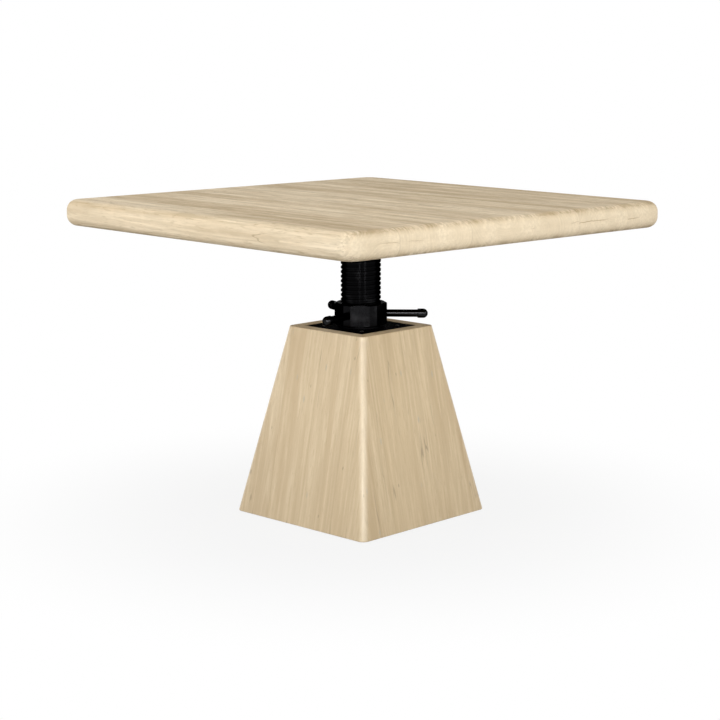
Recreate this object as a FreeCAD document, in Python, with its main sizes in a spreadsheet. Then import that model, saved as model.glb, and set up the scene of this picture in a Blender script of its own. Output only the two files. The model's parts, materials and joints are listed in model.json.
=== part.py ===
# Pedestal table: a square plank top on a screw column, which a hand-turned nut lifts out of a wooden base.
# Millimetres, +Z up, origin on the floor under the middle of the column.
import FreeCAD
import Part
import Sketcher
import math
import os

# Driving dimensions, each set on its own
SIZES = {
    # Plank top
    "table_height": 757,
    "top_side": 1016,
    "top_thickness": 62,
    "top_edge_radius": 25,
    "top_corner_radius": 46,
    "plank_two_width": 214,
    "plank_three_width": 198,
    "plank_four_width": 150,
    "plank_five_width": 172,
    # Wooden base
    "base_height": 457,
    "base_foot_side": 430,
    "base_rim_side": 250,
    "panel_rim_width": 30,
    "base_corner_radius": 18,
    "rim_edge_radius": 2,
    "base_turn": 3,
    "plate_block_height": 80,
    "plate_block_margin": 20,
    "plate_block_relief": 2.5,
    "foot_block_side": 60,
    "foot_block_height": 70,
    "glide_radius": 13,
    "glide_thickness": 3,
    "glide_pin_radius": 2,
    "glide_pin_length": 18,
    # Steel plate in the mouth of the base, and its screws
    "plate_thickness": 8,
    "plate_drop": 1,
    "plate_gap": 0.5,
    "plate_screw_inset": 33,
    "plate_screw_radius": 3,
    "plate_screw_length": 45,
    "plate_head_radius": 5,
    "plate_head_height": 1.8,
    "plate_head_chamfer": 1.2,
    "plate_socket_radius": 2.2,
    "plate_socket_depth": 1.2,
    # Guide tube, its gussets and the ring that closes its foot
    "guide_gap": 0.5,
    "guide_wall": 5,
    "guide_foot_height": 22,
    "end_ring_thickness": 6,
    "end_ring_gap": 1,
    "gusset_thickness": 6,
    "gusset_height": 60,
    "gusset_reach": 28,
    "gusset_lip": 10,
    # Screw column and its thread
    "thread_crest_radius": 48,
    "thread_depth": 2.4,
    "thread_pitch": 11,
    "groove_floor_width": 3,
    "groove_mouth_width": 6.4,
    "thread_gap": 0.5,
    "thread_spare": 11,
    "thread_run_out": 1,
    "column_wall": 14,
    "lift_up": 157,
    "lift_down": 97,
    # Foot ring of the column, its bolts, and the key that it holds in the slot of the guide tube
    "stop_gap": 0.5,
    "foot_ring_thickness": 14,
    "foot_bolt_radius": 3,
    "foot_bolt_depth": 18,
    "foot_head_radius": 4.5,
    "foot_head_height": 6,
    "key_width": 11.4,
    "key_side_gap": 0.3,
    # Head flange under the top, and its lag screws
    "flange_margin": 25,
    "flange_thickness": 10,
    "flange_chamfer": 2,
    "lag_circle_radius": 140,
    "lag_radius": 4,
    "lag_bite": 40,
    "lag_head_corner": 8,
    "lag_head_height": 6,
    # Lift nut and its washer
    "nut_wall": 11,
    "nut_height": 54,
    "nut_corner_flat": 19.5,
    "nut_chamfer": 1.5,
    "washer_thickness": 4,
    "washer_width": 6,
    # Turning bars and their caps
    "bar_angle": 42,
    "bar_radius": 9,
    "bar_reach": 160,
    "bar_socket_wall": 2.5,
    "tenon_radius": 5,
    "tenon_length": 10,
    "cap_radius": 11.2,
    "cap_length": 24.6,
    "cap_chamfer": 1,
    # Clearance of a screw, pin or bar in its hole
    "hole_gap": 0.15,
}

# Turns of the four sides and the four corners of the base
SIDE_TURNS = {"right": 0, "rear": 90, "left": 180, "front": 270}
CORNER_TURNS = {"right_rear": 0, "left_rear": 90, "left_front": 180, "right_front": 270}

# How many of each repeated piece, and how far a cutter and a thread cutter overshoot their work
PLATE_SCREW_COUNT = 4
FOOT_BOLT_COUNT = 4
LAG_COUNT = 8
BAR_COUNT = 3
OVERSHOOT = 5
SKIM = 0.5

# Turns about the column of the base and of the ironwork, whose X axis lies along the first bar
WORK_TURN = "Sizes.base_turn"
IRON_TURN = "Sizes.base_turn + Sizes.bar_angle"
LAG_TURN = 180 / LAG_COUNT
FOOT_BOLT_SPOT = "Places.foot_bolt_spot * cos(45 deg)"

# Places and sizes that follow from them
PLACES = {
    "top_under": "Sizes.table_height - Sizes.top_thickness",
    "top_rounding": "min(Sizes.top_edge_radius; Sizes.top_thickness * 0.49)",
    "inner_planks": "Sizes.plank_two_width + Sizes.plank_three_width"
                    " + Sizes.plank_four_width + Sizes.plank_five_width",
    "flange_under": "top_under - Sizes.flange_thickness",
    "flange_radius": "Sizes.lag_circle_radius + Sizes.flange_margin",
    "lag_across": f"Sizes.lag_circle_radius * cos({LAG_TURN} deg)",
    "lag_along": f"Sizes.lag_circle_radius * sin({LAG_TURN} deg)",
    "foot_half": "Sizes.base_foot_side / 2",
    "rim_half": "Sizes.base_rim_side / 2",
    "panel_slope": "(foot_half - rim_half) / (Sizes.base_height - Sizes.glide_thickness)",
    "mouth_half": "rim_half - Sizes.panel_rim_width",
    "hollow_half": "foot_half - Sizes.panel_rim_width",
    "plate_top": "Sizes.base_height - Sizes.plate_drop",
    "plate_bottom": "plate_top - Sizes.plate_thickness",
    "plate_half": "mouth_half - Sizes.plate_gap",
    "plate_screw_spot": "plate_half - Sizes.plate_screw_inset",
    "plate_screw_hole": "Sizes.plate_screw_radius + Sizes.hole_gap",
    "glide_spot": "hollow_half - Sizes.foot_block_side / 2",
    "guide_bore": "Sizes.thread_crest_radius + Sizes.guide_gap",
    "guide_outer": "guide_bore + Sizes.guide_wall",
    "guide_bottom": "Sizes.guide_foot_height + Sizes.end_ring_thickness",
    "ring_under": "guide_bottom + Sizes.stop_gap + Sizes.lift_down",
    "column_foot": "ring_under + Sizes.foot_ring_thickness",
    "slot_top": "column_foot + Sizes.lift_up + Sizes.stop_gap",
    "column_bore": "Sizes.thread_crest_radius - Sizes.column_wall",
    "foot_bolt_spot": "Sizes.thread_crest_radius - Sizes.column_wall / 2",
    "end_ring_bore": "foot_bolt_spot + Sizes.foot_head_radius + Sizes.end_ring_gap",
    "nut_bottom": "plate_top + Sizes.washer_thickness",
    "nut_top": "nut_bottom + Sizes.nut_height",
    "nut_apothem": "Sizes.thread_crest_radius + Sizes.nut_wall",
    "nut_corner": "nut_apothem / cos(30 deg) - Sizes.nut_corner_flat / 2 * tan(30 deg)",
    "nut_bore": "Sizes.thread_crest_radius - Sizes.thread_depth + Sizes.thread_gap",
    "bar_height": "nut_bottom + Sizes.nut_height / 2",
    "bar_seat": "Sizes.thread_crest_radius + Sizes.thread_gap + Sizes.bar_socket_wall",
    "cap_start": "Sizes.bar_reach - Sizes.cap_length",
    "thread_root": "Sizes.thread_crest_radius - Sizes.thread_depth",
    "flank_slope": "(Sizes.groove_mouth_width - Sizes.groove_floor_width) / 2 / Sizes.thread_depth",
    "ridge_half": "(Sizes.thread_pitch - Sizes.groove_mouth_width) / 2",
    "thread_relief": "Sizes.thread_pitch + Sizes.groove_mouth_width + 2 * Sizes.thread_run_out",
    "thread_start": "nut_bottom - Sizes.lift_up - Sizes.thread_spare",
    "thread_end": "flange_under - thread_relief",
    "relief_start": "thread_start - thread_relief",
    "groove_zero": "nut_bottom + Sizes.thread_pitch / 2",
    "groove_lowest": "relief_start + Sizes.groove_mouth_width / 2 + Sizes.thread_run_out",
    "turns_below": "floor((groove_zero - groove_lowest) / Sizes.thread_pitch)",
    "groove_start": "groove_zero - turns_below * Sizes.thread_pitch",
    "groove_highest": "thread_end + Sizes.groove_mouth_width / 2 + Sizes.thread_run_out",
    "groove_turns": "ceil((groove_highest - groove_start) / Sizes.thread_pitch)",
}

doc = FreeCAD.newDocument("pedestal_table")
pieces = []


def fill_sheet(name, entries):
    """A sheet with one named cell in column B for each entry, and the name beside it in column A."""
    sheet = doc.addObject("Spreadsheet::Sheet", name)
    for row, (alias, content) in enumerate(entries.items(), start=1):
        sheet.set(f"A{row}", alias)
        sheet.set(f"B{row}", content)
        sheet.setAlias(f"B{row}", alias)
    doc.recompute()


def bind(item, links):
    """Tie properties of an object to expressions on the sheets."""
    for name, expression in links.items():
        item.setExpression(name, expression)
    return item


def keep(item, turn=None):
    """Count an object as a piece of the table, turned about the column by so many degrees."""
    if turn is not None:
        bind(item, {"Placement.Rotation.Angle": f"({turn}) * 1 deg"})
    pieces.append(item)
    return item


def origin_part(body, role):
    """A plane or axis of a body's own origin."""
    return next(item for item in body.Origin.OriginFeatures if item.Role == role)


def new_sketch(body, name, role, shift=None):
    """An empty sketch on one of the body's planes, moved by the expressions in shift."""
    sketch = body.newObject("Sketcher::SketchObject", name)
    sketch.AttachmentSupport = [(origin_part(body, role), "")]
    sketch.MapMode = "FlatFace"
    for axis, expression in (shift or {}).items():
        sketch.setExpression(f"AttachmentOffset.Base.{axis}", expression)
    return sketch


def pin_point(sketch, curve, end, across, along):
    """Hold one point of a curve at a place given as two expressions."""
    for kind, axis, expression in (("DistanceX", -2, across), ("DistanceY", -1, along)):
        if expression == "0":
            sketch.addConstraint(Sketcher.Constraint("PointOnObject", curve, end, axis))
        else:
            number = sketch.addConstraint(Sketcher.Constraint(kind, -1, 1, curve, end, 1.0))
            sketch.setExpression(f"Constraints[{number}]", expression)


def draw_outline(sketch, corners):
    """A closed outline of straight lines through corners given as pairs of expressions."""
    count = len(corners)
    angles = [2 * math.pi * index / count for index in range(count)]
    spots = [FreeCAD.Vector(math.cos(angle), math.sin(angle), 0) for angle in angles]
    for index in range(count):
        sketch.addGeometry(Part.LineSegment(spots[index], spots[(index + 1) % count]))
    for index in range(count):
        sketch.addConstraint(Sketcher.Constraint("Coincident", index, 2, (index + 1) % count, 1))
    for index, (across, along) in enumerate(corners):
        pin_point(sketch, index, 1, across, along)


def draw_circle(sketch, radius, across="0", along="0"):
    """A circle with its radius and centre given as expressions."""
    curve = sketch.addGeometry(Part.Circle(FreeCAD.Vector(1, 1, 0), FreeCAD.Vector(0, 0, 1), 1))
    pin_point(sketch, curve, 3, across, along)
    number = sketch.addConstraint(Sketcher.Constraint("Radius", curve, 1.0))
    sketch.setExpression(f"Constraints[{number}]", radius)


def square(half):
    """The four corners of a square about the origin."""
    return [(f"-{half}", f"-{half}"), (half, f"-{half}"), (half, half), (f"-{half}", half)]


def upright_strip(half, low, high):
    """The four corners of a strip along the second axis of a sketch."""
    return [(f"-{half}", low), (half, low), (half, high), (f"-{half}", high)]


def hexagon(radius, across):
    """The six corners of a hexagon with its middle moved along X."""
    turns = range(0, 360, 60)
    return [(f"{across} + {radius} * cos({turn} deg)", f"{radius} * sin({turn} deg)") for turn in turns]


def cut_hexagon(reach, width):
    """The twelve corners of a hexagon whose own corners are cut to flats, so far out and so wide."""
    corners = []
    for turn in range(0, 360, 60):
        for side in (f"-{width} / 2", f"{width} / 2"):
            across = f"{reach} * cos({turn} deg) - ({side}) * sin({turn} deg)"
            along = f"{reach} * sin({turn} deg) + ({side}) * cos({turn} deg)"
            corners.append((across, along))
    return corners


def pad(body, sketch, length, back=False, both_ways=False):
    """Extrude a sketch along its normal, against it, or half each way."""
    feature = body.newObject("PartDesign::Pad", f"{sketch.Name}_pad")
    feature.Profile = sketch
    feature.Reversed = back
    if both_ways:
        feature.SideType = "Symmetric"
    bind(feature, {"Length": length})
    doc.recompute()
    return feature


def turned(body, sketch, axis="V_Axis"):
    """Revolve a sketch a whole turn about one of its own axes."""
    feature = body.newObject("PartDesign::Revolution", f"{sketch.Name}_turned")
    feature.Profile = sketch
    feature.ReferenceAxis = (sketch, [axis])
    feature.Angle = 360
    doc.recompute()
    return feature


def check_cut(body, feature, before):
    """Make sure that a cut has taken something away."""
    doc.recompute()
    if feature.Shape.isNull() or feature.Shape.Volume > before - 1e-3:
        raise RuntimeError(f"{feature.Name} takes nothing away from {body.Name}")
    return feature


def pocket(body, sketch, length, forward=False):
    """Cut a sketch's outline into the body, against the sketch's normal or along it."""
    before = body.Shape.Volume
    feature = body.newObject("PartDesign::Pocket", f"{sketch.Name}_pocket")
    feature.Profile = sketch
    feature.Reversed = forward
    bind(feature, {"Length": length})
    return check_cut(body, feature, before)


def groove(body, name, corners):
    """Turn a groove about the body's Z axis, with its section given in radius and height."""
    before = body.Shape.Volume
    sketch = new_sketch(body, name, "XZ_Plane")
    draw_outline(sketch, corners)
    feature = body.newObject("PartDesign::Groove", f"{name}_groove")
    feature.Profile = sketch
    feature.ReferenceAxis = (sketch, ["V_Axis"])
    feature.Angle = 360
    return check_cut(body, feature, before)


def cut_thread(body, name, corners, height):
    """Cut a right-hand thread of the table's pitch, with its section given in radius and height."""
    before = body.Shape.Volume
    sketch = new_sketch(body, name, "XZ_Plane")
    draw_outline(sketch, corners)
    feature = body.newObject("PartDesign::SubtractiveHelix", f"{name}_helix")
    feature.Profile = sketch
    feature.ReferenceAxis = (sketch, ["V_Axis"])
    feature.Mode = "pitch-height-angle"
    bind(feature, {"Pitch": "Sizes.thread_pitch", "Height": height})
    return check_cut(body, feature, before)


def repeat_round(body, features, count):
    """Repeat features evenly round the body's Z axis."""
    pattern = body.newObject("PartDesign::PolarPattern", f"{features[0].Name}_round")
    pattern.Originals = features
    pattern.Axis = (origin_part(body, "Z_Axis"), [""])
    pattern.Angle = 360
    pattern.Occurrences = count
    body.Tip = pattern
    doc.recompute()
    return pattern


def round_edges(body, feature, wanted, radius):
    """Round the edges of a feature that pass a test."""
    names = [f"Edge{number}" for number, edge in enumerate(feature.Shape.Edges, start=1) if wanted(edge)]
    rounding = body.newObject("PartDesign::Fillet", f"{feature.Name}_rounding")
    rounding.Base = (feature, names)
    bind(rounding, {"Radius": radius})
    doc.recompute()
    return rounding


def is_level(edge):
    """Whether an edge lies in a level plane."""
    return edge.BoundBox.ZLength < 1e-4


def turned_body(name, corners, turn):
    """A round piece about the column's axis, with its section given in radius and height."""
    body = doc.addObject("PartDesign::Body", name)
    sketch = new_sketch(body, f"{name}_section", "XZ_Plane")
    draw_outline(sketch, corners)
    turned(body, sketch)
    return keep(body, turn)


def box(name, across, along, height, spot):
    """A block with its sizes and its lowest corner given as expressions."""
    sizes = {"Length": across, "Width": along, "Height": height}
    places = {f"Placement.Base.{axis}": expression for axis, expression in zip("xyz", spot)}
    return bind(doc.addObject("Part::Box", name), {**sizes, **places})


def upright_rod(name, radius, height, spot):
    """A cylinder along Z with its size and its lowest point given as expressions."""
    places = {f"Placement.Base.{axis}": expression for axis, expression in zip("xyz", spot)}
    return bind(doc.addObject("Part::Cylinder", name), {"Radius": radius, "Height": height, **places})


def combine(kind, name, first, second):
    """A Part boolean of two objects."""
    item = doc.addObject(f"Part::{kind}", name)
    item.Base = first
    item.Tool = second
    return item


def make_top():
    """The top: one rounded slab drilled for the lag screws, parted into six edge-glued planks."""
    slab = doc.addObject("PartDesign::Body", "top_slab")
    outline = new_sketch(slab, "top_outline", "XY_Plane", {"z": "Places.top_under"})
    draw_outline(outline, square("Sizes.top_side / 2"))
    block = pad(slab, outline, "Sizes.top_thickness")
    cornered = round_edges(slab, block, lambda edge: not is_level(edge), "Sizes.top_corner_radius")
    round_edges(slab, cornered, is_level, "Places.top_rounding")
    hole = new_sketch(slab, "lag_hole", "XY_Plane", {"z": "Places.top_under"})
    draw_circle(hole, "Sizes.lag_radius + Sizes.hole_gap", "Places.lag_across", "Places.lag_along")
    drilled = pocket(slab, hole, "Sizes.lag_bite + Sizes.hole_gap", forward=True)
    repeat_round(slab, [drilled], LAG_COUNT)

    edge = f"Sizes.top_side / 2 + {OVERSHOOT}"
    seams = [f"-({edge})", "-Places.inner_planks / 2"]
    for word in ("two", "three", "four", "five"):
        seams.append(f"{seams[-1]} + Sizes.plank_{word}_width")
    seams.append(edge)
    for number, (near, far) in enumerate(zip(seams, seams[1:]), start=1):
        height = f"Sizes.top_thickness + 2 * {OVERSHOOT}"
        spot = (f"-({edge})", near, f"Places.top_under - {OVERSHOOT}")
        strip = box(f"strip_{number}", f"2 * ({edge})", f"{far} - ({near})", height, spot)
        keep(combine("Common", f"top_plank_{number}", slab, strip))


def make_head():
    """The flange on the column's head, and the lag screws that hold it to the top."""
    corners = [
        ("0", "Places.flange_under"),
        ("Places.flange_radius - Sizes.flange_chamfer", "Places.flange_under"),
        ("Places.flange_radius", "Places.flange_under + Sizes.flange_chamfer"),
        ("Places.flange_radius", "Places.top_under"),
        ("0", "Places.top_under"),
    ]
    flange = turned_body("head_flange", corners, None)
    hole = new_sketch(flange, "flange_hole", "XY_Plane", {"z": "Places.top_under"})
    draw_circle(hole, "Sizes.lag_radius + Sizes.hole_gap", "Places.lag_across", "Places.lag_along")
    repeat_round(flange, [pocket(flange, hole, "Sizes.flange_thickness")], LAG_COUNT)

    screws = doc.addObject("PartDesign::Body", "lag_screws")
    shank = new_sketch(screws, "lag_shank", "XY_Plane", {"z": "Places.flange_under"})
    draw_circle(shank, "Sizes.lag_radius", "Sizes.lag_circle_radius")
    stem = pad(screws, shank, "Sizes.flange_thickness + Sizes.lag_bite")
    head = new_sketch(screws, "lag_head", "XY_Plane", {"z": "Places.flange_under"})
    draw_outline(head, hexagon("Sizes.lag_head_corner", "Sizes.lag_circle_radius"))
    cap = pad(screws, head, "Sizes.lag_head_height", back=True)
    repeat_round(screws, [stem, cap], LAG_COUNT)
    keep(screws, LAG_TURN)


def make_column():
    """The screw column: a bored tube with tapped holes in its foot and a thread."""
    crest = "Sizes.thread_crest_radius"
    root = "Places.thread_root"
    bore = "Places.column_bore"
    corners = [
        (bore, "Places.column_foot"),
        (crest, "Places.column_foot"),
        (crest, "Places.relief_start"),
        (root, "Places.relief_start"),
        (root, "Places.thread_start"),
        (crest, "Places.thread_start"),
        (crest, "Places.thread_end"),
        (root, "Places.thread_end"),
        (root, "Places.flange_under"),
        (bore, "Places.flange_under"),
    ]
    column = turned_body("lift_column", corners, IRON_TURN)
    hole = new_sketch(column, "foot_hole", "XY_Plane", {"z": "Places.column_foot"})
    draw_circle(hole, "Sizes.foot_bolt_radius + Sizes.hole_gap", FOOT_BOLT_SPOT, FOOT_BOLT_SPOT)
    tapped = pocket(column, hole, "Sizes.foot_bolt_depth + Sizes.hole_gap", forward=True)
    repeat_round(column, [tapped], FOOT_BOLT_COUNT)

    mouth = f"Sizes.groove_mouth_width / 2 + Places.flank_slope * {SKIM}"
    floor = "Sizes.groove_floor_width / 2"
    outside = f"{crest} + {SKIM}"
    section = [
        (root, f"Places.groove_start - {floor}"),
        (outside, f"Places.groove_start - ({mouth})"),
        (outside, f"Places.groove_start + {mouth}"),
        (root, f"Places.groove_start + {floor}"),
    ]
    cut_thread(column, "column_thread", section, "Places.groove_turns * Sizes.thread_pitch")


def make_foot():
    """The ring under the column, its bolts, and the key in its notch, which stops the lift at both ends."""
    ring = turned_body("foot_ring", [
        ("Places.column_bore", "Places.ring_under"),
        ("Sizes.thread_crest_radius", "Places.ring_under"),
        ("Sizes.thread_crest_radius", "Places.column_foot"),
        ("Places.column_bore", "Places.column_foot"),
    ], IRON_TURN)
    hole = new_sketch(ring, "ring_hole", "XY_Plane", {"z": "Places.column_foot"})
    draw_circle(hole, "Sizes.foot_bolt_radius + Sizes.hole_gap", FOOT_BOLT_SPOT, FOOT_BOLT_SPOT)
    repeat_round(ring, [pocket(ring, hole, "Sizes.foot_ring_thickness")], FOOT_BOLT_COUNT)
    outline = upright_strip("Sizes.key_width / 2", "Places.ring_under", "Places.column_foot")
    notch = new_sketch(ring, "key_notch", "XZ_Plane", {"z": "-Places.foot_bolt_spot"})
    draw_outline(notch, outline)
    pocket(ring, notch, f"Sizes.column_wall / 2 + {OVERSHOOT}")

    key = doc.addObject("PartDesign::Body", "guide_key")
    side = new_sketch(key, "key_outline", "XZ_Plane", {"z": "-Places.foot_bolt_spot"})
    draw_outline(side, outline)
    pad(key, side, "Places.guide_outer - Places.foot_bolt_spot", back=True)
    keep(key, IRON_TURN)

    bolts = doc.addObject("PartDesign::Body", "foot_bolts")
    shift = {"x": "Places.foot_bolt_spot", "y": "Places.ring_under"}
    section = new_sketch(bolts, "foot_bolt", "XZ_Plane", shift)
    draw_outline(section, [
        ("0", "-Sizes.foot_head_height"),
        ("Sizes.foot_head_radius", "-Sizes.foot_head_height"),
        ("Sizes.foot_head_radius", "0"),
        ("Sizes.foot_bolt_radius", "0"),
        ("Sizes.foot_bolt_radius", "Sizes.foot_ring_thickness + Sizes.foot_bolt_depth"),
        ("0", "Sizes.foot_ring_thickness + Sizes.foot_bolt_depth"),
    ])
    repeat_round(bolts, [turned(bolts, section)], FOOT_BOLT_COUNT)
    keep(bolts, f"{IRON_TURN} + 45")


def make_nut():
    """The lift nut: a chamfered hexagon, threaded for the column, with flats at its corners for the bars."""
    nut = doc.addObject("PartDesign::Body", "lift_nut")
    outline = new_sketch(nut, "nut_outline", "XY_Plane", {"z": "Places.nut_bottom"})
    draw_outline(outline, cut_hexagon("Places.nut_corner", "Sizes.nut_corner_flat"))
    pad(nut, outline, "Sizes.nut_height")

    inner = "Places.nut_apothem - Sizes.nut_chamfer"
    outer = f"Places.nut_corner + {OVERSHOOT}"
    drop = f"({outer} - ({inner})) * tan(30 deg)"
    bore = "Places.nut_bore"
    mouth = "Sizes.thread_crest_radius + Sizes.thread_gap"
    lead = f"({mouth} - {bore})"
    hole = new_sketch(nut, "nut_hole", "XY_Plane", {"z": "Places.nut_top"})
    draw_circle(hole, bore)
    pocket(nut, hole, "Sizes.nut_height")
    for end, face, inward in (("lower", "Places.nut_bottom", "+"), ("upper", "Places.nut_top", "-")):
        rim = [(inner, face), (outer, face), (outer, f"{face} {inward} {drop}")]
        groove(nut, f"{end}_chamfer", rim)
        lead_in = [(bore, face), (mouth, face), (bore, f"{face} {inward} {lead}")]
        groove(nut, f"{end}_lead_in", lead_in)

    shift = {"y": "Places.bar_height", "z": "Places.bar_seat"}
    socket = new_sketch(nut, "bar_socket", "YZ_Plane", shift)
    draw_circle(socket, "Sizes.bar_radius + Sizes.hole_gap")
    drilled = pocket(nut, socket, "Places.nut_corner - Places.bar_seat", forward=True)
    repeat_round(nut, [drilled], BAR_COUNT)

    inside = f"({bore} - {SKIM})"
    wide = f"Places.ridge_half + Sizes.thread_gap + Places.flank_slope * ({mouth} - {inside})"
    narrow = "Places.ridge_half + Sizes.thread_gap"
    start = "Places.nut_bottom - Sizes.thread_pitch"
    section = [
        (inside, f"{start} - ({wide})"),
        (mouth, f"{start} - ({narrow})"),
        (mouth, f"{start} + {narrow}"),
        (inside, f"{start} + {wide}"),
    ]
    cut_thread(nut, "nut_thread", section, "Sizes.nut_height + 2 * Sizes.thread_pitch")
    keep(nut, IRON_TURN)


def make_bars():
    """The turning bars, each with a tenon at its outer end, and a domed cap on each tenon."""
    for number in range(1, BAR_COUNT + 1):
        turn = f"{IRON_TURN} + {360 * (number - 1) / BAR_COUNT}"
        shift = {"y": "Places.bar_height"}
        bar = doc.addObject("PartDesign::Body", f"turning_bar_{number}")
        section = new_sketch(bar, f"bar_section_{number}", "XZ_Plane", shift)
        tenon_end = "Places.cap_start + Sizes.tenon_length"
        draw_outline(section, [
            ("Places.bar_seat", "0"),
            (tenon_end, "0"),
            (tenon_end, "Sizes.tenon_radius"),
            ("Places.cap_start", "Sizes.tenon_radius"),
            ("Places.cap_start", "Sizes.bar_radius"),
            ("Places.bar_seat", "Sizes.bar_radius"),
        ])
        turned(bar, section, "H_Axis")
        keep(bar, turn)

        cap = doc.addObject("PartDesign::Body", f"bar_cap_{number}")
        rim = new_sketch(cap, f"cap_section_{number}", "XZ_Plane", shift)
        draw_cap_section(rim)
        turned(cap, rim, "H_Axis")
        keep(cap, turn)


def draw_cap_section(sketch):
    """Half the section of a bar's cap: a chamfered mouth, a straight side and a round end."""
    round_start = "Sizes.bar_reach - Sizes.cap_radius"
    hole = "Sizes.tenon_radius + Sizes.hole_gap"
    hole_end = "Places.cap_start + Sizes.tenon_length + Sizes.hole_gap"
    corners = [
        ("Sizes.bar_reach", "0"),
        (hole_end, "0"),
        (hole_end, hole),
        ("Places.cap_start", hole),
        ("Places.cap_start", "Sizes.cap_radius - Sizes.cap_chamfer"),
        ("Places.cap_start + Sizes.cap_chamfer", "Sizes.cap_radius"),
        (round_start, "Sizes.cap_radius"),
    ]
    last = len(corners) - 1
    for index in range(last):
        spot = FreeCAD.Vector(-index, index % 2, 0)
        sketch.addGeometry(Part.LineSegment(spot, FreeCAD.Vector(-index - 1, (index + 1) % 2, 0)))
    circle = Part.Circle(FreeCAD.Vector(0, 0, 0), FreeCAD.Vector(0, 0, 1), 1)
    arc = sketch.addGeometry(Part.ArcOfCircle(circle, 0, math.pi / 2))
    for index in range(last - 1):
        sketch.addConstraint(Sketcher.Constraint("Coincident", index, 2, index + 1, 1))
    sketch.addConstraint(Sketcher.Constraint("Coincident", last - 1, 2, arc, 2))
    sketch.addConstraint(Sketcher.Constraint("Coincident", arc, 1, 0, 1))
    pin_point(sketch, arc, 3, round_start, "0")
    for index, (across, along) in enumerate(corners[1:last], start=1):
        pin_point(sketch, index, 1, across, along)
    sketch.addConstraint(Sketcher.Constraint("PointOnObject", 0, 1, -1))
    sketch.addConstraint(Sketcher.Constraint("Horizontal", last - 1))
    sketch.addConstraint(Sketcher.Constraint("Vertical", arc, 2, arc, 3))


def make_seat():
    """The steel plate in the mouth of the base, its screws, and the washer that the nut turns on."""
    plate = doc.addObject("PartDesign::Body", "base_plate")
    outline = new_sketch(plate, "plate_outline", "XY_Plane", {"z": "Places.plate_bottom"})
    draw_outline(outline, square("Places.plate_half"))
    pad(plate, outline, "Sizes.plate_thickness")
    middle = new_sketch(plate, "plate_bore", "XY_Plane", {"z": "Places.plate_top"})
    draw_circle(middle, "Places.guide_bore")
    pocket(plate, middle, "Sizes.plate_thickness")
    hole = new_sketch(plate, "plate_hole", "XY_Plane", {"z": "Places.plate_top"})
    draw_circle(hole, "Places.plate_screw_hole", "Places.plate_screw_spot", "Places.plate_screw_spot")
    repeat_round(plate, [pocket(plate, hole, "Sizes.plate_thickness")], PLATE_SCREW_COUNT)
    keep(plate, WORK_TURN)

    screws = doc.addObject("PartDesign::Body", "plate_screws")
    across = "Places.plate_screw_spot * sqrt(2)"
    section = new_sketch(screws, "plate_screw", "XZ_Plane", {"x": across, "y": "Places.plate_top"})
    draw_outline(section, [
        ("0", "-Sizes.plate_screw_length"),
        ("Sizes.plate_screw_radius", "Sizes.plate_screw_radius - Sizes.plate_screw_length"),
        ("Sizes.plate_screw_radius", "0"),
        ("Sizes.plate_head_radius", "0"),
        ("Sizes.plate_head_radius", "Sizes.plate_head_height - Sizes.plate_head_chamfer"),
        ("Sizes.plate_head_radius - Sizes.plate_head_chamfer", "Sizes.plate_head_height"),
        ("0", "Sizes.plate_head_height"),
    ])
    stem = turned(screws, section)
    top = "Places.plate_top + Sizes.plate_head_height"
    socket = new_sketch(screws, "plate_socket", "XY_Plane", {"z": top})
    draw_outline(socket, hexagon("Sizes.plate_socket_radius", across))
    drive = pocket(screws, socket, "Sizes.plate_socket_depth")
    repeat_round(screws, [stem, drive], PLATE_SCREW_COUNT)
    keep(screws, f"{WORK_TURN} + 45")

    turned_body("thrust_washer", [
        ("Places.guide_bore", "Places.plate_top"),
        ("Places.guide_bore + Sizes.washer_width", "Places.plate_top"),
        ("Places.guide_bore + Sizes.washer_width", "Places.nut_bottom"),
        ("Places.guide_bore", "Places.nut_bottom"),
    ], WORK_TURN)


def make_guide():
    """The tube that keeps the column upright, slotted for its key, the ring at its foot and its gussets."""
    tube = turned_body("guide_tube", [
        ("Places.guide_bore", "Places.guide_bottom"),
        ("Places.guide_outer", "Places.guide_bottom"),
        ("Places.guide_outer", "Places.plate_bottom"),
        ("Places.guide_bore", "Places.plate_bottom"),
    ], IRON_TURN)
    slot = new_sketch(tube, "key_slot", "XZ_Plane")
    half = "(Sizes.key_width / 2 + Sizes.key_side_gap)"
    draw_outline(slot, upright_strip(half, f"Places.guide_bottom - {OVERSHOOT}", "Places.slot_top"))
    pocket(tube, slot, f"Places.guide_outer + {OVERSHOOT}")
    turned_body("tube_end_ring", [
        ("Places.end_ring_bore", "Sizes.guide_foot_height"),
        ("Places.guide_outer", "Sizes.guide_foot_height"),
        ("Places.guide_outer", "Places.guide_bottom"),
        ("Places.end_ring_bore", "Places.guide_bottom"),
    ], IRON_TURN)

    for side, turn in SIDE_TURNS.items():
        gusset = doc.addObject("PartDesign::Body", f"gusset_{side}")
        outline = new_sketch(gusset, f"gusset_{side}_outline", "XZ_Plane")
        reach = "Places.guide_outer + Sizes.gusset_reach"
        draw_outline(outline, [
            ("Places.guide_outer", "Places.plate_bottom - Sizes.gusset_height"),
            (reach, "Places.plate_bottom - Sizes.gusset_lip"),
            (reach, "Places.plate_bottom"),
            ("Places.guide_outer", "Places.plate_bottom"),
        ])
        pad(gusset, outline, "Sizes.gusset_thickness", both_ways=True)
        keep(gusset, f"{WORK_TURN} + {turn}")


def bind_taper(wedge, low, high, bottom, top):
    """Give a wedge a square foot and a square head, from half sides and heights along its own Y axis."""
    feet = {"Xmin": f"-{low}", "Xmax": low, "Zmin": f"-{low}", "Zmax": low}
    heads = {"X2min": f"-{high}", "X2max": high, "Z2min": f"-{high}", "Z2max": high}
    return bind(wedge, {**feet, **heads, "Ymin": bottom, "Ymax": top})


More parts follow.
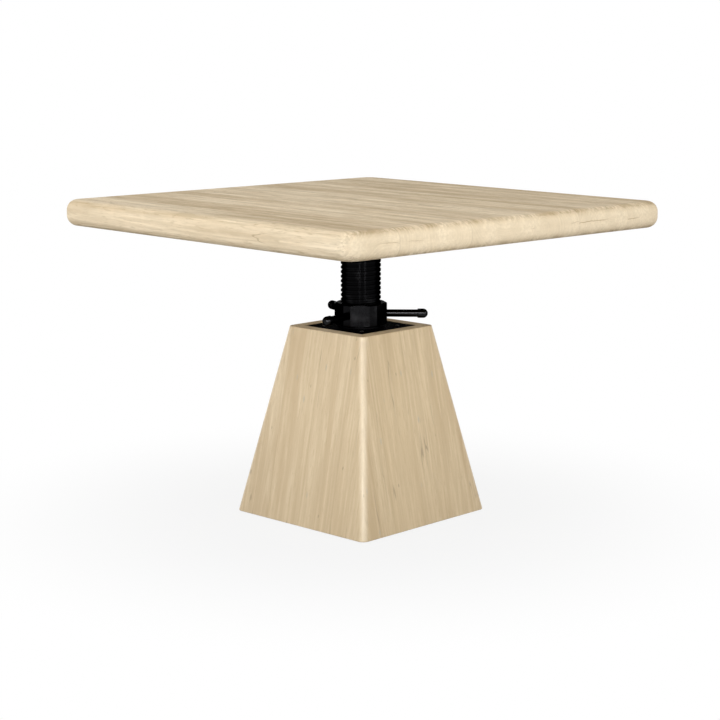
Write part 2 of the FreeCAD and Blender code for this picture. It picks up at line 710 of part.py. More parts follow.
def make_hollow():
    """The tapered space inside the base, as a solid to cut with, longer than the base at both ends."""
    low = f"(Places.hollow_half + Places.panel_slope * {OVERSHOOT})"
    high = f"(Places.mouth_half - Places.panel_slope * {OVERSHOOT})"
    hollow = doc.addObject("Part::Wedge", "base_hollow")
    hollow.Placement = FreeCAD.Placement(FreeCAD.Vector(), FreeCAD.Rotation(FreeCAD.Vector(1, 0, 0), 90))
    bottom = f"Sizes.glide_thickness - {OVERSHOOT}"
    return bind_taper(hollow, low, high, bottom, f"Sizes.base_height + {OVERSHOOT}")


def make_panels(hollow):
    """Four tapered panels with mitred joints and rounded outer corners."""
    outside = doc.addObject("PartDesign::Body", "base_outside")
    taper = outside.newObject("PartDesign::AdditiveWedge", "base_taper")
    taper.AttachmentSupport = [(origin_part(outside, "XZ_Plane"), "")]
    taper.MapMode = "FlatFace"
    bind_taper(taper, "Places.foot_half", "Places.rim_half", "Sizes.glide_thickness", "Sizes.base_height")
    doc.recompute()
    cornered = round_edges(outside, taper, lambda edge: not is_level(edge), "Sizes.base_corner_radius")
    round_edges(outside, cornered, is_level, "Sizes.rim_edge_radius")
    shell = combine("Cut", "base_shell", outside, hollow)

    quarter = doc.addObject("PartDesign::Body", "mitre_quarter")
    wedge = new_sketch(quarter, "quarter_outline", "XY_Plane")
    far = f"(Places.foot_half + {OVERSHOOT})"
    draw_outline(wedge, [("0", "0"), (far, f"-{far}"), (far, far)])
    pad(quarter, wedge, f"Sizes.base_height + {OVERSHOOT}")
    for side, turn in SIDE_TURNS.items():
        keep(combine("Common", f"base_panel_{side}", shell, quarter), f"{WORK_TURN} + {turn}")


def make_blocks(hollow):
    """Corner blocks inside the base: four that carry the steel plate, and four at the foot with glides."""
    for corner, degrees in CORNER_TURNS.items():
        turn = f"{WORK_TURN} + {degrees}"
        inner = "Places.plate_screw_spot - Sizes.plate_block_margin"
        reach = "Places.hollow_half"
        low = "Places.plate_bottom - Sizes.plate_block_height"
        blank = box(f"plate_blank_{corner}", reach, reach, "Sizes.plate_block_height", (inner, inner, low))
        fitted = combine("Common", f"plate_fitted_{corner}", blank, hollow)
        clear = "Places.guide_outer + Sizes.plate_block_relief"
        relief = upright_rod(f"plate_relief_{corner}", clear, "Sizes.base_height", ("0", "0", "0"))
        relieved = combine("Cut", f"plate_relieved_{corner}", fitted, relief)
        depth = "Sizes.plate_screw_length - Sizes.plate_thickness + Sizes.hole_gap"
        spot = ("Places.plate_screw_spot", "Places.plate_screw_spot", f"Places.plate_bottom - ({depth})")
        pilot = upright_rod(f"plate_pilot_{corner}", "Places.plate_screw_hole", depth, spot)
        keep(combine("Cut", f"plate_block_{corner}", relieved, pilot), turn)

        inner = "Places.hollow_half - Sizes.foot_block_side"
        place = (inner, inner, "Sizes.glide_thickness")
        blank = box(f"foot_blank_{corner}", reach, reach, "Sizes.foot_block_height", place)
        fitted = combine("Common", f"foot_fitted_{corner}", blank, hollow)
        spot = ("Places.glide_spot", "Places.glide_spot", "0")
        depth = "Sizes.glide_thickness + Sizes.glide_pin_length + Sizes.hole_gap"
        pilot = upright_rod(f"foot_pilot_{corner}", "Sizes.glide_pin_radius + Sizes.hole_gap", depth, spot)
        keep(combine("Cut", f"foot_block_{corner}", fitted, pilot), turn)

        glide = doc.addObject("PartDesign::Body", f"floor_glide_{corner}")
        shift = {"x": "Places.glide_spot * sqrt(2)"}
        section = new_sketch(glide, f"glide_section_{corner}", "XZ_Plane", shift)
        draw_outline(section, [
            ("0", "0"),
            ("Sizes.glide_radius - Sizes.glide_thickness / 2", "0"),
            ("Sizes.glide_radius", "Sizes.glide_thickness / 2"),
            ("Sizes.glide_radius", "Sizes.glide_thickness"),
            ("Sizes.glide_pin_radius", "Sizes.glide_thickness"),
            ("Sizes.glide_pin_radius", "Sizes.glide_thickness + Sizes.glide_pin_length"),
            ("0", "Sizes.glide_thickness + Sizes.glide_pin_length"),
        ])
        turned(glide, section)
        keep(glide, f"{turn} + 45")


def check_document():
    """Stop if any object failed, or any piece has no valid shape."""
    doc.recompute()
    failed = [item.Name for item in doc.Objects if {"Invalid", "Error"} & set(item.State)]
    empty = [item.Name for item in pieces if item.Shape.isNull() or not item.Shape.isValid()]
    if failed or empty:
        raise RuntimeError(f"failed objects {failed}, pieces without a valid shape {empty}")


def write_pieces():
    """One file for each piece, named by its label."""
    os.makedirs("parts", exist_ok=True)
    for item in pieces:
        item.Shape.exportStep(f"parts/{item.Label}.step")
        solids = len(item.Shape.Solids)
        print(f"{item.Label}: {solids} solid(s), {item.Shape.Volume / 1000:.1f} cubic cm")


fill_sheet("Sizes", {name: str(value) for name, value in SIZES.items()})
fill_sheet("Places", {name: f"={formula}" for name, formula in PLACES.items()})
make_top()
make_head()
make_column()
make_foot()
make_nut()
make_bars()
make_seat()
make_guide()
base_hollow = make_hollow()
make_panels(base_hollow)
make_blocks(base_hollow)
check_document()
write_pieces()
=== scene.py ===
import json
import math
import random

import bpy
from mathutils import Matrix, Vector


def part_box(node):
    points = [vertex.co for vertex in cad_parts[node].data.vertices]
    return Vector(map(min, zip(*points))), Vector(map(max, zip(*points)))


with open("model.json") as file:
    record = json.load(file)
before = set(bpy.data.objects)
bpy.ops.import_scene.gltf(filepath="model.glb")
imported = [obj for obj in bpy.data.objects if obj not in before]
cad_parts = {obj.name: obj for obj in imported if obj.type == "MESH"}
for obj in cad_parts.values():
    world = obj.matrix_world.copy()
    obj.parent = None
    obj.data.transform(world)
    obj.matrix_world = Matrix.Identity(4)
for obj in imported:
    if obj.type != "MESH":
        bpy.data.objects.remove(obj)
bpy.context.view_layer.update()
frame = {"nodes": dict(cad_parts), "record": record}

NODES = frame["nodes"]

# The photograph's camera: where it looks, from how far, and the width of its view in pixels
LOOK_AT = Vector((0.0, 0.0, 0.3734))
CAMERA_DISTANCE = 4.442
CAMERA_AZIMUTH = math.radians(46.844)
CAMERA_ELEVATION = math.radians(10.206)
IMAGE_SIDE = 720
FOCAL_PIXELS = 1849.48
VIEW_CENTRE = (360.83, 359.63)
SENSOR_WIDTH = 36.0
FARTHEST_SEEN = 200.0

# What the lamps face, and how many degrees wide their beams are
TOP_AIM = Vector((0.0, 0.0, 0.8))
BASE_AIM = Vector((0.0, 0.0, 0.45))
BEAM = 50
OPEN_BEAM = 180

# How strongly the white surround lights the object, and how bright it shows
SURROUND_LIGHT = 0.6
SURROUND_SHOWN = 1.0

# The floor: how far it reaches, its grey, the distances between which its glow grows, the glow at each, and
# the white that it glows in
FLOOR_REACH = 60.0
FLOOR_GREY = (0.4, 0.4, 0.4, 1)
GLOW_FROM = 0.3
GLOW_TO = 1.1
NEAR_GLOW = 0.88
FAR_GLOW = 1.0
WHITE = (1, 1, 1, 1)

# The base's turn about the column, the turn of each of its sides and the width of a board in them
BASE_TURN = 3.0
SIDE_TURNS = {"right": 0, "rear": 90, "left": 180, "front": 270}
BOARD_WIDTH = 0.105

# How far the base's faces lean in for each metre of height, how far out they are at the floor, and how high
# the painted shade towards their foot reaches
TAPER = 0.198
FACE_OUT = 0.2156
FOOT_SHADE_HEIGHT = 0.32

# The height of the middle of the top, the height of each plank's pith above it, how light the plank is and
# how dark the glue line after it is
TOP_MIDDLE = 0.726
PITH_HEIGHTS = {1: -0.05, 2: 0.004, 3: 0.07, 4: -0.003, 5: -0.06, 6: 0.045}
PLANK_TONES = {1: 1, 2: 5, 3: 0, 4: -2, 5: -5, 6: -4}
GLUE_LINES = {1: 0.6, 2: 0.6, 3: 0.3, 4: 0.35, 5: 0.3}

# Half the width of a glue line, of a crack in a plank's end, and of the darkest part of both
GLUE_HALF_WIDTH = 0.0014
CRACK_HALF_WIDTH = 0.0012
DARKEST_HALF_WIDTH = 0.0002

# How far under the middle of the top a crack may lie, and the height that it wanders over
CRACK_DROP = 0.012
CRACK_WANDER = 0.024

# How far each panel of the base leans from grey beige towards yellow, and what a wholly yellow one loses of
# red, green and blue
PANEL_WARMTH = {"right": 0.4, "rear": 0.2, "left": 0.3, "front": 0.05}
WARM_LOSS = (10, 15, 25)

# The colours of each wood, from 0 to 255
PLANK_COLOURS = {
    "light": (245, 230, 203),
    "middle": (221, 204, 174),
    "dark": (172, 149, 113),
    "streak": (184, 165, 133),
    "blotch": (233, 211, 178),
}
PANEL_COLOURS = {
    "light": (225, 208, 178),
    "middle": (217, 199, 168),
    "dark": (187, 165, 132),
    "streak": (193, 173, 141),
    "blotch": (198, 178, 146),
}
BLOCK_COLOURS = {
    "light": (214, 189, 148),
    "middle": (197, 169, 126),
    "dark": (170, 139, 96),
    "streak": (180, 150, 108),
    "blotch": (205, 178, 135),
}
BLEACHED_PORES = (150, 128, 98)
SAWN_PORES = (128, 101, 68)
NO_SHIFT = (0, 0, 0)

# The colours of the marks on the wood, and of the light and shade painted on it, from 0 to 255
END_GRAIN = (224, 206, 174)
# Painted light: a lighter tone laid on the top's rounded edges and sides
PAINTED_SIDE_LIGHT = (240, 226, 202)
END_CRACK = (150, 117, 74)
GLUE = (140, 119, 88)
PLANK_MARKS = (128, 108, 80)
BOARD_TINT = (200, 177, 139)
BOARD_SEAM = (150, 126, 92)
PIN_KNOTS = (118, 102, 80)
GREY_FILLER = (170, 165, 150)
# Painted shade: a darker tone towards the foot of the base
PAINTED_FOOT_SHADE = (168, 148, 116)
# Painted highlight: a light streak down the base's rounded corners
PAINTED_CORNER_HIGHLIGHT = (250, 237, 210)

# Blackened steel: a dark metal that stays dark where it is seen edge on
BLACKENED = {"Metallic": 1.0, "Specular Tint": (0.06, 0.06, 0.06, 1)}

# Each metal and plastic: its colour, its colour where it is rubbed, its roughness, the height of its relief
# in metres, and what else its shader needs
METALS = {
    "black_steel": ((13, 13, 14), (40, 40, 41), 0.15, 0.00005, BLACKENED),
    "black_screw": ((110, 109, 106), (140, 138, 135), 0.3, 0.00005, BLACKENED),
    "screw_steel": ((176, 176, 178), (140, 141, 144), 0.34, 0.0001, {"Metallic": 1.0}),
    "glide_plastic": ((58, 54, 50), (76, 72, 68), 0.55, 0.0002, {"Specular IOR Level": 0.4}),
    "matt_steel": ((14, 14, 15), (26, 26, 28), 0.5, 0.0001, BLACKENED),
    "nut_steel": ((19, 19, 20), (46, 46, 47), 0.25, 0.0001, BLACKENED),
    "bar_steel": ((32, 32, 33), (48, 48, 49), 0.1, 0.00001, BLACKENED),
}

# The starts of the names of the black pieces whose steel is duller or brighter than the column's
OTHER_STEEL = {
    "matt_steel": ("base_plate", "thrust_washer"),
    "nut_steel": ("lift_nut",),
    "bar_steel": ("turning_bar_", "bar_cap_"),
}


def linear(red, green, blue):
    """A colour of the screen, from 0 to 255, as the renderer's linear colour."""
    shares = [value / 255 for value in (red, green, blue)]
    levels = [((share + 0.055) / 1.055) ** 2.4 if share > 0.04045 else share / 12.92 for share in shares]
    return (*levels, 1)


def wood_palette(colours, shift, pores):
    """A wood's linear colours, all but the pores' moved by the same steps of red, green and blue."""
    moved = {name: [level + step for level, step in zip(colour, shift)] for name, colour in colours.items()}
    return {name: linear(*colour) for name, colour in {**moved, "pore": pores}.items()}


class Graph:
    """A material's node tree and short ways to add to it."""

    def __init__(self, name):
        self.material = bpy.data.materials.new(name)
        self.material.use_nodes = True
        self.tree = self.material.node_tree
        self.tree.nodes.clear()

    def add(self, kind, inputs=None, **settings):
        """A node with its settings, and its inputs set to values or linked to other nodes' outputs."""
        node = self.tree.nodes.new(f"ShaderNode{kind}")
        for name, value in settings.items():
            setattr(node, name, value)
        for socket, value in (inputs or {}).items():
            if isinstance(value, bpy.types.NodeSocket):
                self.tree.links.new(value, node.inputs[socket])
            else:
                node.inputs[socket].default_value = value
        return node

    def calc(self, operation, first, second=0.0, third=0.0):
        """One step of arithmetic."""
        return self.add("Math", {0: first, 1: second, 2: third}, operation=operation).outputs[0]

    def band(self, value, low, high, start=0.0, end=1.0):
        """A value from start to end, smoothly, while another goes from low to high."""
        inputs = {"Value": value, "From Min": low, "From Max": high, "To Min": start, "To Max": end}
        return self.add("MapRange", inputs, interpolation_type="SMOOTHSTEP").outputs[0]

    def mix(self, share, first, second):
        """Two colours mixed."""
        inputs = {0: share, 6: first, 7: second}
        return self.add("Mix", inputs, data_type="RGBA", blend_type="MIX").outputs[2]

    def place(self):
        """Where a point lies on the object, in metres."""
        return self.add("TexCoord").outputs["Object"]

    def facing(self):
        """Which way the surface faces."""
        return self.add("NewGeometry").outputs["Normal"]

    def parts(self, vector):
        """The three parts of a place or direction."""
        return self.add("SeparateXYZ", {0: vector}).outputs

    def turned(self, vector, angle):
        """A place or direction turned about the upright axis."""
        inputs = {"Vector": vector, "Angle": angle}
        return self.add("VectorRotate", inputs, rotation_type="Z_AXIS").outputs[0]

    def stretch(self, place, along, across, shift=(0.0, 0.0, 0.0)):
        """A place with its first axis and its other two scaled on their own."""
        scale = {"Vector": place, "Scale": (along, across, across), "Location": shift}
        return self.add("Mapping", scale).outputs[0]

    def noise(self, place, detail=2.0, roughness=0.5):
        """Smooth noise from 0 to 1."""
        inputs = {"Vector": place, "Scale": 1.0, "Detail": detail, "Roughness": roughness}
        return self.add("TexNoise", inputs).outputs["Fac"]

    def surface(self, links, settings):
        """The shader, with what varies over the surface linked and what doesn't set on its sockets."""
        shader = self.add("BsdfPrincipled", {**links, **settings})
        self.add("OutputMaterial", {"Surface": shader.outputs[0]})
        return self.material


def wood_figure(graph, place, pith_across, pith_out, ring_rate):
    """Shares of rings, streaks, blotches, fibres and pores at a place, grain along its first axis."""
    warp = graph.noise(graph.stretch(place, 1.6, 9.0), detail=3.0)
    parts = graph.parts(place)
    across = graph.calc("SUBTRACT", parts[1], pith_across)
    out = graph.calc("SUBTRACT", parts[2], pith_out)
    squares = graph.calc("ADD", graph.calc("MULTIPLY", across, across), graph.calc("MULTIPLY", out, out))
    radius = graph.calc("SQRT", squares)
    bent = graph.calc("MULTIPLY_ADD", warp, 0.02, radius)
    turns = graph.calc("MULTIPLY", bent, ring_rate)
    growth = {"W": turns, "Scale": 1.0, "Detail": 3.0}
    rings = graph.add("TexNoise", growth, noise_dimensions="1D").outputs["Fac"]
    return {
        "rings": graph.band(rings, 0.32, 0.68),
        "broad": graph.band(graph.noise(graph.stretch(place, 1.5, 19.0), detail=4.0), 0.33, 0.67),
        "streak": graph.band(graph.noise(graph.stretch(place, 7.0, 150.0), detail=4.0), 0.36, 0.64),
        "blotch": graph.band(graph.noise(graph.stretch(place, 13.0, 48.0), 5.0, 0.65), 0.35, 0.68),
        "dash": graph.band(graph.noise(graph.stretch(place, 28.0, 240.0), 3.0, 0.6), 0.55, 0.7),
        "fibre": graph.noise(graph.stretch(place, 22.0, 900.0), detail=2.0),
        "pore": graph.band(graph.noise(graph.stretch(place, 45.0, 1100.0), detail=1.0), 0.66, 0.74),
    }


def wood_colour(graph, figure, palette, strength):
    """The wood's colour from its figure: dark and light bands, then the finer marks over them."""
    mixed = graph.calc("MULTIPLY_ADD", figure["rings"], 0.3, graph.calc("MULTIPLY", figure["broad"], 0.7))
    ramp = graph.add("ValToRGB", {0: mixed})
    stops = ramp.color_ramp.elements
    for stop, position, shade in zip(stops, (0.08, 0.92), ("dark", "light")):
        stop.position = position
        stop.color = palette[shade]
    stops.new(0.5).color = palette["middle"]
    colour = ramp.outputs[0]
    for mark, share, shade in (("streak", 1.0, "streak"), ("blotch", 0.6, "blotch"), ("dash", 1.0, "dark")):
        shown = graph.calc("MULTIPLY", figure[mark], strength * share)
        colour = graph.mix(shown, colour, palette[shade])
    colour = graph.mix(graph.band(figure["fibre"], 0.3, 0.75, 0.0, 0.3), colour, palette["dark"])
    return graph.mix(graph.calc("MULTIPLY", figure["pore"], 0.5), colour, palette["pore"])


def specks(graph, place, along, across, rarity, size):
    """A mask of scattered small marks, longer along the grain."""
    cells = graph.add("TexVoronoi", {"Vector": graph.stretch(place, along, across), "Scale": 1.0})
    chance = graph.add("SeparateColor", {0: cells.outputs["Color"]}).outputs[0]
    chosen = graph.calc("GREATER_THAN", chance, rarity)
    near = graph.band(cells.outputs["Distance"], size, size * 0.3)
    return graph.calc("MULTIPLY", chosen, near)


def drying_cracks(graph, place):
    """A mask of thin broken cracks that wander along the grain."""
    drift = graph.noise(graph.stretch(place, 2.2, 24.0, (3.0, 0.0, 0.0)), detail=3.0)
    off_line = graph.calc("ABSOLUTE", graph.calc("SUBTRACT", drift, 0.5))
    here = graph.band(graph.noise(graph.stretch(place, 7.0, 16.0, (8.0, 0.0, 0.0))), 0.54, 0.64)
    return graph.calc("MULTIPLY", graph.band(off_line, 0.011, 0.002), here)


def wood_surface(graph, colour, figure, extra_height, roughness, specular):
    """The wood's shader, with its fibres and rings as a slight relief."""
    height = graph.calc("MULTIPLY_ADD", figure["fibre"], 0.6, graph.calc("MULTIPLY", figure["rings"], 0.25))
    height = graph.calc("SUBTRACT", height, graph.calc("MULTIPLY", figure["pore"], 0.5))
    height = graph.calc("SUBTRACT", height, extra_height)
    bump = graph.add("Bump", {"Height": height, "Strength": 0.35, "Distance": 0.0006})
    rough = graph.calc("ADD", graph.band(figure["fibre"], 0.2, 0.8, -0.06, 0.08), roughness)
    links = {"Base Color": colour, "Roughness": rough, "Normal": bump.outputs[0]}
    return graph.surface(links, {"Specular IOR Level": specular})


def plank_material(number):
    """Bleached plank of the top: its own grain, faint rings and a crack in the end, dark glue lines, and
    painted light on its rounded edges and sides.
    """
    luck = random.Random(number)
    low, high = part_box(f"top_plank_{number}")
    graph = Graph(f"top_plank_wood_{number}")
    where = graph.place()
    shift = (luck.uniform(3, 9), 0.0, 0.0)
    place = graph.stretch(where, 1.0, 1.0, shift)
    pith = (low.y + high.y) / 2 + luck.uniform(-0.05, 0.05)
    figure = wood_figure(graph, place, pith, TOP_MIDDLE + PITH_HEIGHTS[number], luck.uniform(190, 260))
    palette = wood_palette(PLANK_COLOURS, [PLANK_TONES[number]] * 3, BLEACHED_PORES)
    colour = wood_colour(graph, figure, palette, 0.7)

    parts = graph.parts(where)
    normal = graph.parts(graph.facing())
    on_end = graph.band(graph.calc("ABSOLUTE", normal[0]), 0.55, 0.8)
    colour = graph.mix(graph.calc("MULTIPLY", on_end, 0.5), colour, linear(*END_GRAIN))
    # Painted light: the top's rounded edges and sides are made lighter by which way they face
    side_light = graph.band(graph.calc("ABSOLUTE", normal[2]), 0.85, 0.3, 0.0, 0.3)
    colour = graph.mix(side_light, colour, linear(*PAINTED_SIDE_LIGHT))
    wander = graph.noise(graph.stretch(where, 0.0, 14.0, shift), detail=4.0)
    level = graph.calc("SUBTRACT", parts[2], TOP_MIDDLE - CRACK_DROP)
    off_line = graph.calc("ABSOLUTE", graph.calc("MULTIPLY_ADD", wander, -CRACK_WANDER, level))
    open_shift = (luck.uniform(1, 5), 3.0, 0.0)
    open_here = graph.band(graph.noise(graph.stretch(where, 0.0, 7.0, open_shift)), 0.5, 0.62)
    on_line = graph.band(off_line, CRACK_HALF_WIDTH, DARKEST_HALF_WIDTH)
    crack = graph.calc("MULTIPLY", on_line, graph.calc("MULTIPLY", on_end, open_here))
    colour = graph.mix(graph.calc("MULTIPLY", crack, 0.75), colour, linear(*END_CRACK))

    for seam, darkness in ((low.y, GLUE_LINES.get(number - 1)), (high.y, GLUE_LINES.get(number))):
        if darkness:
            from_seam = graph.calc("ABSOLUTE", graph.calc("SUBTRACT", parts[1], seam))
            line = graph.band(from_seam, GLUE_HALF_WIDTH, DARKEST_HALF_WIDTH, 0.0, darkness)
            shown = graph.calc("MULTIPLY", line, graph.band(on_end, 0.0, 1.0, 1.0, 0.35))
            colour = graph.mix(shown, colour, linear(*GLUE))
    marks = graph.calc("MAXIMUM", specks(graph, place, 30.0, 60.0, 0.93, 0.2), drying_cracks(graph, place))
    marks = graph.calc("MULTIPLY", marks, graph.band(on_end, 0.0, 1.0, 1.0, 0.2))
    colour = graph.mix(graph.calc("MULTIPLY", marks, 0.4), colour, linear(*PLANK_MARKS))
    return wood_surface(graph, colour, figure, graph.calc("ADD", crack, marks), 0.62, 0.1)


def panel_material(side):
    """Bleached panel of the base: upright boards, pin knots, grey filler, painted shade towards the foot, a
    painted highlight down the corners and a dull rim.
    """
    graph = Graph(f"base_panel_wood_{side}")
    luck = random.Random(f"panel {side}")
    where = graph.place()
    angle = -math.radians(BASE_TURN + SIDE_TURNS[side])
    parts = graph.parts(graph.turned(where, angle))
    board = graph.calc("FLOOR", graph.calc("DIVIDE", parts[1], BOARD_WIDTH))
    seed = graph.calc("ADD", board, luck.uniform(20, 60))
    chance = graph.add("TexWhiteNoise", {"W": seed}, noise_dimensions="1D")
    shades = graph.add("SeparateColor", {0: chance.outputs["Color"]}).outputs
    up = graph.calc("MULTIPLY_ADD", shades[0], 7.0, parts[2])
    board_middle = graph.calc("MULTIPLY", graph.calc("ADD", board, shades[1]), BOARD_WIDTH)
    across = graph.calc("SUBTRACT", parts[1], board_middle)
    out = graph.calc("MULTIPLY_ADD", parts[2], TAPER, parts[0])
    place = graph.add("CombineXYZ", {0: up, 1: across, 2: out}).outputs[0]
    figure = wood_figure(graph, place, 0.0, FACE_OUT - luck.uniform(0.03, 0.09), luck.uniform(170, 230))
    shift = [-loss * PANEL_WARMTH[side] for loss in WARM_LOSS]
    colour = wood_colour(graph, figure, wood_palette(PANEL_COLOURS, shift, BLEACHED_PORES), 0.58)
    colour = graph.mix(graph.band(shades[2], 0.0, 1.0, 0.0, 0.25), colour, linear(*BOARD_TINT))

    board_share = graph.calc("FRACT", graph.calc("DIVIDE", parts[1], BOARD_WIDTH))
    off_middle = graph.calc("ABSOLUTE", graph.calc("SUBTRACT", board_share, 0.5))
    seam = graph.band(off_middle, 0.492, 0.499, 0.0, 0.3)
    colour = graph.mix(seam, colour, linear(*BOARD_SEAM))
    knots = graph.calc("MAXIMUM", specks(graph, place, 24.0, 55.0, 0.88, 0.14), drying_cracks(graph, place))
    colour = graph.mix(graph.calc("MULTIPLY", knots, 0.5), colour, linear(*PIN_KNOTS))
    filler = specks(graph, place, 20.0, 60.0, 0.93, 0.24)
    colour = graph.mix(graph.calc("MULTIPLY", filler, 0.5), colour, linear(*GREY_FILLER))
    # Painted shade: the panels grow darker towards the floor
    foot_shade = graph.band(parts[2], FOOT_SHADE_HEIGHT, 0.0, 0.0, 0.22)
    colour = graph.mix(foot_shade, colour, linear(*PAINTED_FOOT_SHADE))
    normal = graph.parts(graph.turned(graph.facing(), angle))
    # Painted highlight down the rounded corners, chosen by which way the surface faces
    corner_highlight = graph.band(graph.calc("ABSOLUTE", normal[1]), 0.0, 0.6, 0.0, 0.22)
    colour = graph.mix(corner_highlight, colour, linear(*PAINTED_CORNER_HIGHLIGHT))
    roughness = graph.band(normal[2], 0.5, 0.9, 0.36, 0.8)
    return wood_surface(graph, colour, figure, graph.calc("ADD", seam, knots), roughness, 0.5)


def block_material():
    """Unfinished sawn wood of the hidden blocks."""
    graph = Graph("block_wood")
    parts = graph.parts(graph.place())
    place = graph.add("CombineXYZ", {0: parts[2], 1: parts[0], 2: parts[1]}).outputs[0]
    figure = wood_figure(graph, place, 0.0, 0.0, 140.0)
    colour = wood_colour(graph, figure, wood_palette(BLOCK_COLOURS, NO_SHIFT, SAWN_PORES), 0.5)
    saw = graph.noise(graph.stretch(place, 420.0, 30.0), detail=1.0)
    return wood_surface(graph, colour, figure, graph.calc("MULTIPLY", saw, 0.8), 0.75, 0.25)


def metal_material(name):
    """Metal or plastic: slight mottling, dull and bright patches, and a fine relief."""
    colour, rubbed_colour, roughness, relief, settings = METALS[name]
    graph = Graph(name)
    where = graph.place()
    patches = graph.noise(graph.stretch(where, 24.0, 24.0), detail=4.0, roughness=0.6)
    fine = graph.noise(graph.stretch(where, 700.0, 700.0), detail=2.0)
    rubbed = graph.band(patches, 0.52, 0.8, 0.0, 0.6)
    shade = graph.mix(rubbed, linear(*colour), linear(*rubbed_colour))
    uneven = graph.calc("MULTIPLY_ADD", fine, 0.3, patches)
    rough = graph.band(uneven, 0.3, 1.0, roughness - 0.08, roughness + 0.12)
    bump = graph.add("Bump", {"Height": fine, "Strength": 0.25, "Distance": relief})
    links = {"Base Color": shade, "Roughness": rough, "Normal": bump.outputs[0]}
    return graph.surface(links, settings)


def paint(material, names):
    """Give CAD nodes a material in place of their own."""
    for name in names:
        mesh = NODES[name].data
        mesh.materials.clear()
        mesh.materials.append(material)


def dress_object():
    """A material for every node."""
    for number in PITH_HEIGHTS:
        paint(plank_material(number), [f"top_plank_{number}"])
    for side in SIDE_TURNS:
        paint(panel_material(side), [f"base_panel_{side}"])
    slots = {item["node"]: item["material_slot"] for item in frame["record"]["subparts"]}
    for steel, starts in OTHER_STEEL.items():
        slots.update({node: steel for node in slots if node.startswith(starts)})
    plain = {"block_wood": block_material(), **{name: metal_material(name) for name in METALS}}
    for slot, material in plain.items():
        paint(material, [node for node, used in slots.items() if used == slot])


def add_area(name, place, width, height, power, aim, spread=BEAM):
    """A soft box that faces a point, its beam so many degrees wide."""
    lamp = bpy.data.lights.new(name, "AREA")
    lamp.shape = "RECTANGLE"
    lamp.size = width
    lamp.size_y = height
    lamp.energy = power
    lamp.spread = math.radians(spread)
    item = bpy.data.objects.new(name, lamp)
    item.location = place
    item.rotation_euler = (aim - Vector(place)).to_track_quat("-Z", "Y").to_euler()
    bpy.context.scene.collection.objects.link(item)
    return item


def seen_directly(tree):
    """A node socket that is 1 for rays that show the background: from the camera, a gloss or a glass."""
    path = tree.nodes.new("ShaderNodeLightPath").outputs
    total = path["Is Camera Ray"]
    for name in ("Is Glossy Ray", "Is Transmission Ray"):
        larger = tree.nodes.new("ShaderNodeMath")
        larger.operation = "MAXIMUM"
        tree.links.new(total, larger.inputs[0])
        tree.links.new(path[name], larger.inputs[1])
        total = larger.outputs[0]
    return total


def make_world():
    """A white surround that lights the object evenly and less than it shows."""
    world = bpy.data.worlds.new("studio")
    world.use_nodes = True
    tree = world.node_tree
    backdrop = tree.nodes["Background"]
    backdrop.inputs["Color"].default_value = WHITE
    strength = tree.nodes.new("ShaderNodeMapRange")
    strength.inputs["To Min"].default_value = SURROUND_LIGHT
    strength.inputs["To Max"].default_value = SURROUND_SHOWN
    tree.links.new(seen_directly(tree), strength.inputs["Value"])
    tree.links.new(strength.outputs[0], backdrop.inputs["Strength"])
    bpy.context.scene.world = world


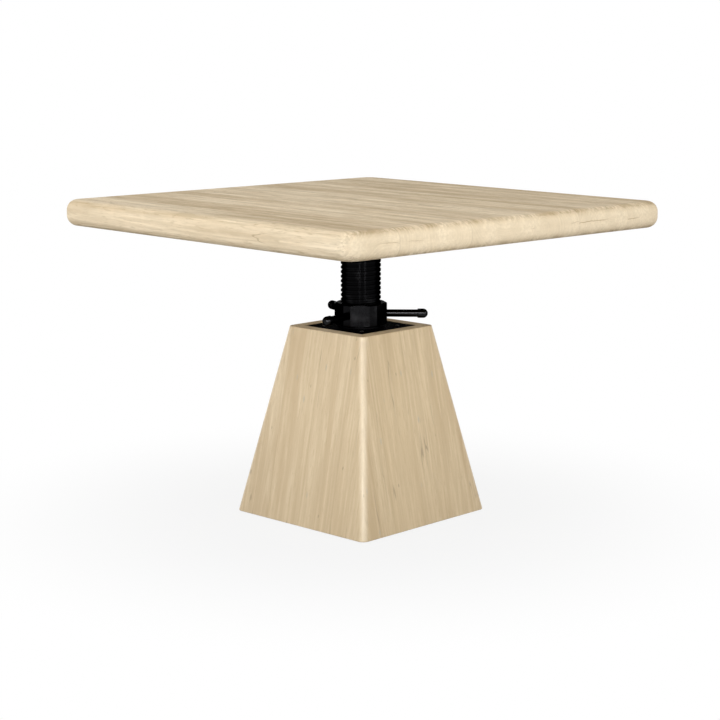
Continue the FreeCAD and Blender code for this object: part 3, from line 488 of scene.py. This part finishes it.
def make_floor():
    """A wide white floor that keeps a faint shadow near the object."""
    mesh = bpy.data.meshes.new("studio_floor")
    corners = [(FLOOR_REACH * x, FLOOR_REACH * y, 0) for x, y in ((-1, -1), (1, -1), (1, 1), (-1, 1))]
    mesh.from_pydata(corners, [], [(0, 1, 2, 3)])
    floor = bpy.data.objects.new("studio_floor", mesh)
    bpy.context.scene.collection.objects.link(floor)
    graph = Graph("studio_floor")
    matt = graph.add("BsdfDiffuse", {"Color": FLOOR_GREY})
    glow = graph.add("Emission", {"Color": WHITE, "Strength": 1.0})
    away = graph.add("VectorMath", {0: graph.place()}, operation="LENGTH").outputs["Value"]
    glowing = graph.band(away, GLOW_FROM, GLOW_TO, NEAR_GLOW, FAR_GLOW)
    share = graph.calc("MULTIPLY", seen_directly(graph.tree), glowing)
    both = graph.add("MixShader", {0: share, 1: matt.outputs[0], 2: glow.outputs[0]})
    graph.add("OutputMaterial", {"Surface": both.outputs[0]})
    mesh.materials.append(graph.material)


def make_camera():
    """The photograph's camera."""
    data = bpy.data.cameras.new("photo_camera")
    data.sensor_width = SENSOR_WIDTH
    data.lens = FOCAL_PIXELS / IMAGE_SIDE * SENSOR_WIDTH
    data.shift_x = (IMAGE_SIDE / 2 - VIEW_CENTRE[0]) / IMAGE_SIDE
    data.shift_y = (VIEW_CENTRE[1] - IMAGE_SIDE / 2) / IMAGE_SIDE
    data.clip_end = FARTHEST_SEEN
    level = math.cos(CAMERA_ELEVATION)
    across = math.sin(CAMERA_AZIMUTH) * level
    along = -math.cos(CAMERA_AZIMUTH) * level
    back = Vector((across, along, math.sin(CAMERA_ELEVATION)))
    camera = bpy.data.objects.new("photo_camera", data)
    camera.location = LOOK_AT + back * CAMERA_DISTANCE
    camera.rotation_euler = (-back).to_track_quat("-Z", "Y").to_euler()
    bpy.context.scene.collection.objects.link(camera)
    bpy.context.scene.camera = camera


def light_object():
    """Strips beside the camera, one above it that only shines, and boxes at the sides and behind."""
    for side, place, power in (("left", (2.83, -3.37, 1.1), 2.8), ("right", (4.16, -1.43, 1.1), 4.2)):
        add_area(f"camera_{side}_strip", place, width=0.4, height=2.0, power=power, aim=TOP_AIM)
    high = add_area("camera_high_strip", (2.92, -2.74, 1.56), width=1.6, height=0.3, power=5.6, aim=BASE_AIM)
    left = add_area("left_box", (-1.5, -4.1, 1.9), width=2.0, height=2.0, power=12.5, aim=TOP_AIM)
    add_area("right_box", (4.2, 1.2, 1.9), width=2.0, height=2.0, power=7.2, aim=TOP_AIM)
    behind = (-3.0, 2.8, 0.55)
    rear = add_area("rear_box", behind, width=2.0, height=0.9, power=60, aim=BASE_AIM, spread=OPEN_BEAM)
    high.visible_diffuse = False
    left.visible_glossy = False
    rear.visible_glossy = False


bpy.context.scene.view_settings.view_transform = "Standard"
dress_object()
make_world()
make_floor()
make_camera()
light_object()
